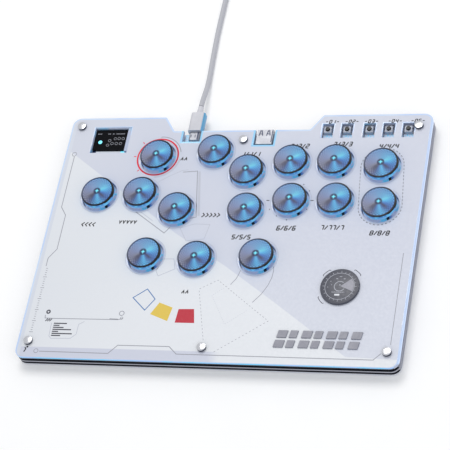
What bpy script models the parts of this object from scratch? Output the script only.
"""Leverless arcade control panel: three stacked plates, sixteen round buttons, a screen and a USB lead.

The panel lies flat with +Z up. Its front edge faces -Y. The origin is the middle of the panel's outline,
at the height of the surface that its feet stand on. Sizes are millimetres times MM, which makes metres.
"""

import math

import bmesh
import bpy
from mathutils import Matrix, Vector

MM = 0.001

# Plates: one outline, with a recess at the back for the sockets.
WIDTH = 300.0
DEPTH = 220.0
CORNER_R = 7.0
RECESS_DEPTH = 13.5
RECESS_X = (-60.0, 53.0)
RECESS_CHAMFER = 9.2
RECESS_R = 2.0

# Stack, from the feet up. Faces that touch on the real object are FIT apart.
FIT = 0.3
SLACK = 0.1
RUN_IN = 1.0
FOOT_H = 0.9
BOTTOM_T = 1.5
LOWER_GAP = 2.7
BOARD_T = 1.6
UPPER_GAP = 3.0
COVER_T = 3.0
BOTTOM_Z = FOOT_H + FIT
BOARD_Z = BOTTOM_Z + BOTTOM_T + LOWER_GAP
BOARD_TOP = BOARD_Z + BOARD_T
COVER_Z = BOARD_TOP + UPPER_GAP
COVER_TOP = COVER_Z + COVER_T

# Buttons: a translucent cap on a low switch, in a round hole of the cover.
BUTTONS = {
    "left": (-111.3, 35.5),
    "down": (-75.8, 35.7),
    "up": (-68.6, 70.8),
    "right": (-43.4, 21.4),
    "extra": (-21.0, 75.4),
    "thumb_1": (-60.7, -20.0),
    "thumb_2": (-18.8, -22.6),
    "thumb_3": (29.9, -20.1),
    "action_1": (8.6, 56.4),
    "action_2": (43.2, 65.1),
    "action_3": (78.3, 65.1),
    "action_4": (115.6, 61.3),
    "action_5": (13.3, 21.0),
    "action_6": (48.1, 29.8),
    "action_7": (83.3, 30.0),
    "action_8": (118.6, 26.1),
}
HOLE_R = 14.6
CAP_R = 13.5
CAP_WALL = 1.15
CAP_RISE = 6.0
CAP_DOME = 0.8
CAP_SKIRT = 4.3
CAP_CROWN = 1.5
CAP_EDGE = 0.45
CAP_TAPER = 0.05
STEM_R = 2.8
TRAVEL = 3.0
SWITCH_SIDE = 13.8
SWITCH_H = 4.8
SWITCH_FLOOR = 0.7
SWITCH_BORE_R = 3.2

# Small tact switches along the back edge.
TACT_X = (66.5, 82.0, 99.8, 115.3, 130.8)
TACT_Y = 98.0
TACT_SIDE = 6.0
TACT_H = 3.4
TACT_BORE_R = 2.0
PLUNGER_R = 1.65
PLUNGER_RISE = 1.3
TACT_TRAVEL = 0.3
TACT_WINDOW = (9.2, 13.2)
TACT_WINDOW_Y = 95.0
TACT_WINDOW_SHIFT = 0.8

# Clamping studs: a flat round head, a shank, and a collar between each two plates.
STUDS = ((-140.7, -96.3), (0.0, -98.0), (140.3, -97.6), (-140.8, 101.3), (0.0, 87.0), (139.7, 98.6))
HEAD_R = 3.45
HEAD_H = 2.2
HEAD_EDGE = 0.4
SHANK_R = 1.5
SHANK_HOLE_R = 1.9
COLLAR_R = 2.75

# Screen module in its window, and the round dial badge on the cover.
SCREEN_CENTRE = (-114.4, 90.0)
GLASS_SIZE = (28.3, 19.5)
GLASS_T = 1.8
CARRIER_SIZE = (28.3, 24.6)
CARRIER_T = 1.6
SCREEN_WINDOW = ((-129.0, 76.2), (-97.4, 100.6))
BADGE_CENTRE = (98.0, -45.0)
BADGE_R = 14.9
BADGE_T = 1.8
BADGE_EDGE = 0.5

# Sockets in the recess.
RECESS_Y = DEPTH / 2 - RECESS_DEPTH
USB_C_X = -43.5
USB_C_SIZE = (8.94, 7.4, 3.16)
USB_C_WALL = 0.31
USB_C_BACK = 0.9
USB_C_NOTCH = (-51.8, -37.0, 86.2)
USB_A_X = 16.7
USB_A_SIZE = (13.1, 13.6, 5.5)
USB_A_WALL = 0.4
USB_A_BACK = 1.0
USB_A_TONGUE = (11.1, 9.5, 1.9)
USB_A_TONGUE_GAP = 0.75
USB_A_NOTCH = (8.6, 24.8, 82.4)
SOCKET_PROUD = 0.5

CHIP_CENTRE = (34.0, 89.0)
CHIP_SIZE = (7.0, 7.0, 0.9)

FOOT_R = 6.0
FEET = ((-124.0, -90.0), (124.0, -90.0), (-124.0, 88.0), (124.0, 88.0))

# Lead: a USB-C plug in the socket, the cord laid out behind, a coil, and a USB-A plug.
CORD_R = 2.1
CORD_STEP = 2.4
PLUG_C_SIZE = (12.0, 17.3, 8.0)
PLUG_C_ROUND = 2.4
PLUG_C_NOSE = (7.5, 6.0, 1.9)
RELIEF_LENGTH = 7.5
RELIEF_R = (2.9, 2.25)
CORD_ROUTE = (
    (-43.5, 122.6, 8.9),
    (-43.5, 128.0, 8.5),
    (-43.7, 136.0, 6.6),
    (-44.1, 146.0, 3.8),
    (-44.6, 156.0, 2.4),
    (-45.0, 168.0, 2.2),
    (-45.5, 185.0, 2.2),
    (-45.8, 203.0, 2.2),
    (-45.6, 222.0, 2.2),
    (-45.3, 238.0, 2.2),
    (-45.1, 252.0, 2.2),
    (-45.0, 265.8, 2.2),
)
COIL_CENTRE = (-19.1, 282.0)
COIL_INNER_R = 15.2
COIL_OUTER_R = 28.4
COIL_H = 17.0
COIL_LOW = 0.1
TAIL_ROUTE = (
    (-45.0, 298.4, 14.5),
    (-44.4, 303.6, 13.0),
    (-41.8, 310.2, 10.4),
    (-37.4, 316.4, 7.2),
    (-30.6, 319.5, 5.0),
    (-23.0, 319.8, 4.6),
)
PLUG_A_BODY = (30.0, 15.6, 8.0)
PLUG_A_NOSE = (18.5, 12.0, 4.5)
PLUG_A_Z = 4.6
PLUG_A_ROUND = 3.0

CAP_STEPS = 32
HOLE_STEPS = 32
SMALL_STEPS = 16
CORNER_STEPS = 6

COLOURS = {
    "clear_white": ((0.80, 0.84, 0.90, 1.0), 0.22, 0.0),
    "board_white": ((0.72, 0.73, 0.78, 1.0), 0.45, 0.0),
    "frosted_base": ((0.70, 0.72, 0.77, 1.0), 0.40, 0.0),
    "cap_blue": ((0.16, 0.42, 0.72, 1.0), 0.18, 0.0),
    "switch_black": ((0.02, 0.02, 0.025, 1.0), 0.45, 0.0),
    "steel": ((0.78, 0.79, 0.80, 1.0), 0.25, 1.0),
    "screen_black": ((0.005, 0.006, 0.01, 1.0), 0.08, 0.0),
    "badge_grey": ((0.10, 0.10, 0.13, 1.0), 0.40, 0.0),
    "rubber": ((0.03, 0.03, 0.03, 1.0), 0.80, 0.0),
    "lead_white": ((0.66, 0.66, 0.68, 1.0), 0.50, 0.0),
    "chip_black": ((0.015, 0.015, 0.015, 1.0), 0.50, 0.0),
}


def clear_scene():
    for obj in list(bpy.data.objects):
        bpy.data.objects.remove(obj, do_unlink=True)


def new_collection(name):
    made = bpy.data.collections.new(name)
    bpy.context.scene.collection.children.link(made)
    return made


def new_material(name):
    colour, roughness, metallic = COLOURS[name]
    made = bpy.data.materials.new(name)
    made.use_nodes = True
    shader = made.node_tree.nodes["Principled BSDF"]
    shader.inputs["Base Color"].default_value = colour
    shader.inputs["Roughness"].default_value = roughness
    shader.inputs["Metallic"].default_value = metallic
    made.diffuse_color = colour
    return made


def fillet(corners, radii, steps=CORNER_STEPS):
    """The polygon's points with each corner rounded to its radius by an arc."""
    points = []
    count = len(corners)
    for i, radius in enumerate(radii):
        here = Vector(corners[i])
        if radius == 0:
            points.append(tuple(here))
            continue
        before = (Vector(corners[i - 1]) - here).normalized()
        after = (Vector(corners[(i + 1) % count]) - here).normalized()
        half = before.angle(after) / 2
        centre = here + (before + after).normalized() * (radius / math.sin(half))
        start = here + before * (radius / math.tan(half)) - centre
        end = here + after * (radius / math.tan(half)) - centre
        turn = start.angle_signed(end)
        for k in range(steps + 1):
            arm = Matrix.Rotation(-turn * k / steps, 2) @ start
            points.append(tuple(centre + arm))
    return points


def circle(centre, radius, steps=HOLE_STEPS):
    angles = [2 * math.pi * k / steps for k in range(steps)]
    return [(centre[0] + radius * math.cos(a), centre[1] + radius * math.sin(a)) for a in angles]


def rectangle(centre, size, radius=0.0):
    x, y = centre
    w, d = size[0] / 2, size[1] / 2
    corners = [(x - w, y - d), (x + w, y - d), (x + w, y + d), (x - w, y + d)]
    return fillet(corners, [radius] * 4)


def prism(name, outlines, z_low, z_high, along="Z"):
    """A flat outline, with any holes, from z_low to z_high. Along Y, the outline is drawn in X and Z."""
    curve = bpy.data.curves.new(name, "CURVE")
    curve.dimensions = "2D"
    curve.fill_mode = "BOTH"
    curve.extrude = (z_high - z_low) / 2 * MM
    for outline in outlines:
        spline = curve.splines.new("POLY")
        spline.points.add(len(outline) - 1)
        for point, (x, y) in zip(spline.points, outline):
            point.co = (x * MM, y * MM, 0, 1)
        spline.use_cyclic_u = True
    drawn = bpy.data.objects.new(name + "_outline", curve)
    bpy.context.scene.collection.objects.link(drawn)
    graph = bpy.context.evaluated_depsgraph_get()
    mesh = bpy.data.meshes.new_from_object(drawn.evaluated_get(graph))
    bpy.data.objects.remove(drawn)
    mesh.transform(Matrix.Translation((0, 0, (z_low + z_high) / 2 * MM)))
    if along == "Y":
        mesh.transform(Matrix(((1, 0, 0, 0), (0, 0, 1, 0), (0, 1, 0, 0), (0, 0, 0, 1))))
    weld(mesh)
    mesh.name = name
    return bpy.data.objects.new(name, mesh)


def weld(mesh):
    work = bmesh.new()
    work.from_mesh(mesh)
    bmesh.ops.remove_doubles(work, verts=work.verts, dist=0.001 * MM)
    bmesh.ops.recalc_face_normals(work, faces=work.faces)
    work.to_mesh(mesh)
    work.free()


def box(name, low, high):
    mesh = bpy.data.meshes.new(name)
    work = bmesh.new()
    bmesh.ops.create_cube(work, size=1.0)
    for vert in work.verts:
        for i in range(3):
            vert.co[i] = ((low[i] + high[i]) / 2 + vert.co[i] * (high[i] - low[i])) * MM
    work.to_mesh(mesh)
    work.free()
    return bpy.data.objects.new(name, mesh)


def turned(name, profile, steps, along="Z"):
    """A profile of (radius, height) points, top to bottom, turned about the Z axis by a Screw modifier."""
    mesh = bpy.data.meshes.new(name)
    work = bmesh.new()
    verts = [work.verts.new((r * MM, 0, z * MM)) for r, z in profile]
    for a, b in zip(verts, verts[1:]):
        work.edges.new((a, b))
    work.to_mesh(mesh)
    work.free()
    obj = bpy.data.objects.new(name, mesh)
    screw = obj.modifiers.new("turn", "SCREW")
    screw.steps = steps
    screw.render_steps = steps
    screw.use_merge_vertices = True
    screw.merge_threshold = 0.001 * MM
    screw.use_smooth_shade = False
    fixed = applied(obj)
    if along == "Y":
        fixed.data.transform(Matrix(((1, 0, 0, 0), (0, 0, 1, 0), (0, 1, 0, 0), (0, 0, 0, 1))))
    weld(fixed.data)
    return fixed


def applied(obj):
    """The object with its modifiers worked into its mesh."""
    bpy.context.scene.collection.objects.link(obj)
    graph = bpy.context.evaluated_depsgraph_get()
    mesh = bpy.data.meshes.new_from_object(obj.evaluated_get(graph))
    name = obj.name
    bpy.data.objects.remove(obj)
    mesh.name = name
    return bpy.data.objects.new(name, mesh)


def boolean(obj, other, operation):
    """Joins or cuts obj by another object, which stays in the cutters' collection as a guide."""
    cutters.objects.link(other)
    other.hide_render = True
    other.display_type = "WIRE"
    change = obj.modifiers.new(other.name, "BOOLEAN")
    change.operation = operation
    change.solver = "EXACT"
    change.object = other


def place(obj, material, location=(0.0, 0.0, 0.0), smooth=False):
    """Puts a finished part in the panel's collection, at a location in millimetres."""
    panel.objects.link(obj)
    obj.location = Vector(location) * MM
    if not obj.data.materials:
        obj.data.materials.append(materials[material])
    if smooth:
        obj.data.shade_smooth()
        obj.data.set_sharp_from_angle(angle=math.radians(35))
    return obj


def plate_outline(notches=()):
    """The plates' outline, anticlockwise, with any notches (x low, x high, y) in the recess's edge."""
    x, y = WIDTH / 2, DEPTH / 2
    left, right = RECESS_X
    corners = [(-x, -y), (x, -y), (x, y), (right + RECESS_CHAMFER, y), (right, RECESS_Y)]
    radii = [CORNER_R] * 3 + [RECESS_R] * 2
    for x_low, x_high, notch_y in sorted(notches, reverse=True):
        corners += [(x_high, RECESS_Y), (x_high, notch_y), (x_low, notch_y), (x_low, RECESS_Y)]
        radii += [0, 0, 0, 0]
    corners += [(left, RECESS_Y), (left - RECESS_CHAMFER, y), (-x, y)]
    radii += [RECESS_R] * 2 + [CORNER_R]
    return fillet(corners, radii)


def stud_holes():
    return [circle(at, SHANK_HOLE_R, SMALL_STEPS) for at in STUDS]


def tact_window(x):
    return rectangle((x + TACT_WINDOW_SHIFT, TACT_WINDOW_Y), TACT_WINDOW, 0.0)


def make_plates():
    (x_low, y_low), (x_high, y_high) = SCREEN_WINDOW
    window = rectangle(((x_low + x_high) / 2, (y_low + y_high) / 2), (x_high - x_low, y_high - y_low))
    holes = [circle(at, HOLE_R) for at in BUTTONS.values()] + [tact_window(x) for x in TACT_X]
    outline = plate_outline((USB_C_NOTCH, USB_A_NOTCH))
    cover = prism("cover_plate", [outline, window] + holes + stud_holes(), COVER_Z, COVER_TOP)
    place(cover, "clear_white")
    base = prism("bottom_plate", [plate_outline()] + stud_holes(), BOTTOM_Z, BOTTOM_Z + BOTTOM_T)
    place(base, "frosted_base")


def make_board():
    """The circuit board, with the bodies of the five tact switches soldered on."""
    board = prism("main_board", [plate_outline()] + stud_holes(), BOARD_Z, BOARD_TOP)
    for i, x in enumerate(TACT_X):
        side = rectangle((x, TACT_Y), (TACT_SIDE, TACT_SIDE))
        bore = circle((x, TACT_Y), TACT_BORE_R, SMALL_STEPS)
        body = prism(f"tact_body_{i + 1}", [side, bore], BOARD_TOP - FIT, BOARD_TOP + TACT_H)
        boolean(board, body, "UNION")
    place(board, "board_white")


def make_feet():
    foot = turned("foot", [(0, FOOT_H), (FOOT_R, FOOT_H), (FOOT_R, 0), (0, 0)], SMALL_STEPS * 2)
    for i, (x, y) in enumerate(FEET):
        place(bpy.data.objects.new(f"foot_{i + 1}", foot.data), "rubber", (x, y, 0))


def make_studs():
    """Six studs, each turned in one: head, shank, and the two collars that space the plates."""
    head_z = COVER_TOP + FIT
    profile = [
        (0, head_z + HEAD_H),
        (HEAD_R - HEAD_EDGE, head_z + HEAD_H),
        (HEAD_R, head_z + HEAD_H - HEAD_EDGE),
        (HEAD_R, head_z),
        (SHANK_R, head_z),
        (SHANK_R, COVER_Z - FIT),
        (COLLAR_R, COVER_Z - FIT),
        (COLLAR_R, BOARD_TOP + FIT),
        (SHANK_R, BOARD_TOP + FIT),
        (SHANK_R, BOARD_Z - FIT),
        (COLLAR_R, BOARD_Z - FIT),
        (COLLAR_R, BOTTOM_Z + BOTTOM_T + FIT),
        (SHANK_R, BOTTOM_Z + BOTTOM_T + FIT),
        (SHANK_R, BOTTOM_Z + FIT),
        (0, BOTTOM_Z + FIT),
    ]
    stud = turned("stud", profile, SMALL_STEPS)
    for i, (x, y) in enumerate(STUDS):
        place(bpy.data.objects.new(f"clamp_stud_{i + 1}", stud.data), "steel", (x, y, 0), smooth=True)


def cap_mesh():
    """A cap with its stem: a shallow cone on a skirt, hollow below, with a round stem in the middle."""
    rim_z = COVER_TOP + CAP_RISE
    inner = CAP_R - CAP_WALL
    stem_z = BOARD_TOP + FIT + SWITCH_FLOOR + FIT + TRAVEL + SLACK
    profile = [
        (0, rim_z + CAP_DOME),
        (CAP_R - CAP_EDGE, rim_z),
        (CAP_R, rim_z - CAP_EDGE),
        (CAP_R - CAP_TAPER, rim_z - CAP_SKIRT),
        (inner, rim_z - CAP_SKIRT),
        (inner, rim_z - CAP_CROWN),
        (STEM_R, rim_z - CAP_CROWN),
        (STEM_R, stem_z),
        (0, stem_z),
    ]
    return turned("cap", profile, CAP_STEPS).data


def switch_mesh():
    """A switch housing: a square body with a blind bore that the stem slides in."""
    low = BOARD_TOP + FIT
    body = prism("switch", [rectangle((0, 0), (SWITCH_SIDE, SWITCH_SIDE))], low, low + SWITCH_H)
    hole = circle((0, 0), SWITCH_BORE_R, SMALL_STEPS)
    bore = prism("switch_bore", [hole], low + SWITCH_FLOOR, low + SWITCH_H + RUN_IN)
    boolean(body, bore, "DIFFERENCE")
    return applied(body).data


def make_buttons():
    cap = cap_mesh()
    switch = switch_mesh()
    for name, (x, y) in BUTTONS.items():
        place(bpy.data.objects.new(f"cap_{name}", cap), "cap_blue", (x, y, 0), smooth=True)
        place(bpy.data.objects.new(f"switch_{name}", switch), "switch_black", (x, y, 0))


def make_plungers():
    top = BOARD_TOP + TACT_H + PLUNGER_RISE
    low = BOARD_TOP + FIT + TACT_TRAVEL + SLACK
    profile = [(0, top), (PLUNGER_R, top), (PLUNGER_R, low), (0, low)]
    plunger = turned("plunger", profile, SMALL_STEPS)
    for i, x in enumerate(TACT_X):
        place(bpy.data.objects.new(f"tact_plunger_{i + 1}", plunger.data), "switch_black", (x, TACT_Y, 0))


def make_screen():
    """The screen module: a black glass on its carrier board, which stands out below the glass."""
    x, y = SCREEN_CENTRE
    w, d = GLASS_SIZE[0] / 2, GLASS_SIZE[1] / 2
    low = BOARD_TOP + FIT
    back = y + d
    profile = [
        (back - CARRIER_SIZE[1], low),
        (back, low),
        (back, low + CARRIER_T + GLASS_T),
        (y - d, low + CARRIER_T + GLASS_T),
        (y - d, low + CARRIER_T),
        (back - CARRIER_SIZE[1], low + CARRIER_T),
    ]
    module = prism("screen_module", [profile], x - w, x + w)
    module.data.transform(Matrix(((0, 0, 1, 0), (1, 0, 0, 0), (0, 1, 0, 0), (0, 0, 0, 1))))
    place(module, "screen_black")


def make_badge():
    low = COVER_TOP + FIT
    top = low + BADGE_T
    profile = [(0, top), (BADGE_R - BADGE_EDGE, top), (BADGE_R, top - BADGE_EDGE), (BADGE_R, low), (0, low)]
    place(turned("dial_badge", profile, CAP_STEPS), "badge_grey", (*BADGE_CENTRE, 0), smooth=True)


def make_usb_c_socket():
    """The shell's mouth faces +Y, just proud of the plates' edge."""
    w, d, h = USB_C_SIZE
    z = BOARD_TOP + FIT + h / 2
    mouth = RECESS_Y + SOCKET_PROUD
    outside = rectangle((USB_C_X, z), (w, h), h / 2 - SLACK)
    shell = prism("usb_c_socket", [outside], mouth - d, mouth, "Y")
    w, h = w - 2 * USB_C_WALL, h - 2 * USB_C_WALL
    inside = rectangle((USB_C_X, z), (w, h), h / 2 - SLACK)
    hollow = prism("usb_c_hollow", [inside], mouth - d + USB_C_BACK, mouth + RUN_IN, "Y")
    boolean(shell, hollow, "DIFFERENCE")
    place(shell, "steel")


def make_usb_a_socket():
    """A metal shell with a flat tongue in the upper half of its mouth."""
    w, d, h = USB_A_SIZE
    low = BOARD_TOP + FIT
    mouth = RECESS_Y + SOCKET_PROUD
    t = USB_A_WALL
    shell = box("usb_a_socket", (USB_A_X - w / 2, mouth - d, low), (USB_A_X + w / 2, mouth, low + h))
    hollow_low = (USB_A_X - w / 2 + t, mouth - d + USB_A_BACK, low + t)
    hollow = box("usb_a_hollow", hollow_low, (USB_A_X + w / 2 - t, mouth + RUN_IN, low + h - t))
    boolean(shell, hollow, "DIFFERENCE")
    tongue_w, tongue_d, tongue_t = USB_A_TONGUE
    tongue_top = low + h - t - USB_A_TONGUE_GAP
    start = mouth - d + USB_A_BACK / 2
    tongue_low = (USB_A_X - tongue_w / 2, start, tongue_top - tongue_t)
    tongue = box("usb_a_tongue", tongue_low, (USB_A_X + tongue_w / 2, start + tongue_d, tongue_top))
    boolean(shell, tongue, "UNION")
    place(shell, "steel")


def make_chip():
    w, d, h = CHIP_SIZE
    x, y = CHIP_CENTRE
    low = BOARD_TOP + FIT
    chip = box("controller_chip", (x - w / 2, y - d / 2, low), (x + w / 2, y + d / 2, low + h))
    place(chip, "chip_black")


def make_plug_c():
    """The lead's USB-C plug: its nose in the socket, a rounded grip, and a short tapered strain relief."""
    w, d, h = PLUG_C_SIZE
    z = BOARD_TOP + FIT + USB_C_SIZE[2] / 2
    front = RECESS_Y + SOCKET_PROUD + FIT
    grip = prism("usb_c_plug", [rectangle((USB_C_X, z), (w, h), PLUG_C_ROUND)], front, front + d, "Y")
    nose_w, nose_d, nose_h = PLUG_C_NOSE
    nose_outline = rectangle((USB_C_X, z), (nose_w, nose_h), nose_h / 2 - SLACK)
    boolean(grip, prism("plug_nose", [nose_outline], front - nose_d, front + RUN_IN, "Y"), "UNION")
    start, end = front + d - RUN_IN, front + d + RELIEF_LENGTH
    profile = [(0, end), (RELIEF_R[1], end), (RELIEF_R[0], start), (0, start)]
    relief = turned("plug_relief", profile, SMALL_STEPS, "Y")
    relief.location = (USB_C_X * MM, 0, z * MM)
    boolean(grip, relief, "UNION")
    place(grip, "lead_white")


def make_plug_a():
    """The far plug, lying flat behind the coil and pointing to +X."""
    length, width, height = PLUG_A_BODY
    nose_l, nose_w, nose_h = PLUG_A_NOSE
    x, y, _ = TAIL_ROUTE[-1]
    start = x + 2 * FIT + RELIEF_LENGTH
    outline = rectangle((start + length / 2, y), (length, width), PLUG_A_ROUND)
    body = prism("usb_a_plug", [outline], PLUG_A_Z - height / 2, PLUG_A_Z + height / 2)
    nose_low = (start + length - RUN_IN, y - nose_w / 2, PLUG_A_Z - nose_h / 2)
    nose = box("usb_a_nose", nose_low, (start + length + nose_l, y + nose_w / 2, PLUG_A_Z + nose_h / 2))
    boolean(body, nose, "UNION")
    end = -RELIEF_LENGTH - RUN_IN
    profile = [(0, 0), (RELIEF_R[1], 0), (RELIEF_R[0], end), (0, end)]
    relief = turned("usb_a_relief", profile, SMALL_STEPS)
    relief.data.transform(Matrix.Rotation(-math.pi / 2, 4, "Y"))
    relief.location = ((x + 2 * FIT) * MM, y * MM, PLUG_A_Z * MM)
    boolean(body, relief, "UNION")
    place(body, "lead_white")


def smooth_route(route):
    """Points about CORD_STEP diameters apart on a Catmull-Rom curve through the route's points."""
    points = [Vector(p) for p in route]
    padded = [2 * points[0] - points[1]] + points + [2 * points[-1] - points[-2]]
    made = [points[0]]
    for p0, p1, p2, p3 in zip(padded, padded[1:], padded[2:], padded[3:]):
        steps = max(1, round((p2 - p1).length / (CORD_STEP * 2 * CORD_R)))
        for k in range(1, steps + 1):
            t = k / steps
            made.append(
                0.5
                * (
                    2 * p1
                    + (p2 - p0) * t
                    + (2 * p0 - 5 * p1 + 4 * p2 - p3) * t**2
                    + (3 * p1 - p0 - 3 * p2 + p3) * t**3
                )
            )
    return made


def cord(name, route):
    curve = bpy.data.curves.new(name, "CURVE")
    curve.dimensions = "3D"
    curve.bevel_depth = CORD_R * MM
    curve.bevel_resolution = 2
    curve.use_fill_caps = True
    points = smooth_route(route)
    spline = curve.splines.new("POLY")
    spline.points.add(len(points) - 1)
    for point, co in zip(spline.points, points):
        point.co = (*(co * MM), 1)
    place(bpy.data.objects.new(name, curve), "lead_white")


def make_coil():
    """The outer shape of the wound lead, which stands just clear of the floor."""
    top = COIL_LOW + COIL_H
    profile = [
        (COIL_INNER_R, top),
        (COIL_OUTER_R, top),
        (COIL_OUTER_R, COIL_LOW),
        (COIL_INNER_R, COIL_LOW),
        (COIL_INNER_R, top),
    ]
    place(turned("cord_coil", profile, CAP_STEPS), "lead_white", (*COIL_CENTRE, 0))


clear_scene()
panel = new_collection("leverless_control_panel")
cutters = new_collection("cutters")
materials = {name: new_material(name) for name in COLOURS}
make_plates()
make_board()
make_feet()
make_studs()
make_buttons()
make_plungers()
make_screen()
make_badge()
make_usb_c_socket()
make_usb_a_socket()
make_chip()
make_plug_c()
cord("cord_tube", CORD_ROUTE)
make_coil()
cord("cord_tail", TAIL_ROUTE)
make_plug_a()
